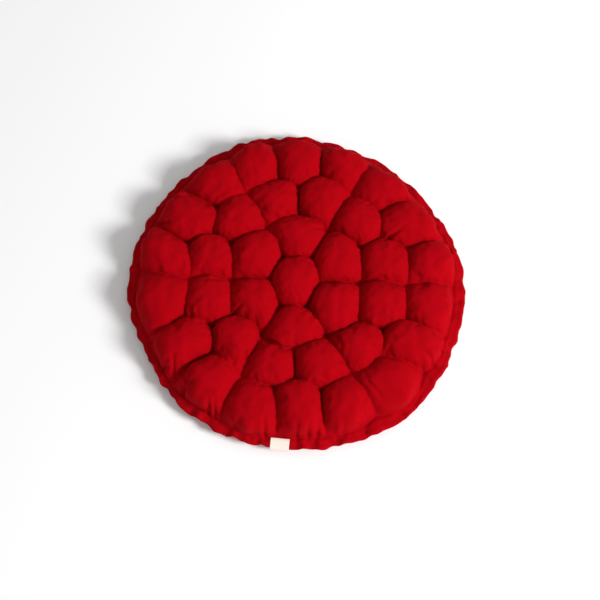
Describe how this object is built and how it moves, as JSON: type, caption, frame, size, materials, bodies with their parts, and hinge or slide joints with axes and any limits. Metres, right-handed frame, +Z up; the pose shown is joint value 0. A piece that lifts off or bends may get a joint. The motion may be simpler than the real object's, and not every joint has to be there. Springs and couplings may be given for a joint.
{
  "type": "round massage seat cushion",
  "caption": "Round flat seat cushion of red cotton, stitched in a honeycomb of filled cells with a narrow flange and a small blank side label.",
  "frame": {"origin": "on the surface the cushion lies on, under the middle of its box, beneath the centre cell", "axes": "+Z up, out of the top face; -Y towards the front, where the label is; +X to the right"},
  "size_m": [0.4014, 0.405, 0.0499],
  "materials": {
    "red_cotton": "matt woven cotton, deep red, plain",
    "label_ribbon": "matt woven ribbon, cream, blank"
  },
  "bodies": {
    "root": {"cushion": "red_cotton", "label": "label_ribbon"}
  },
  "joints": []
}
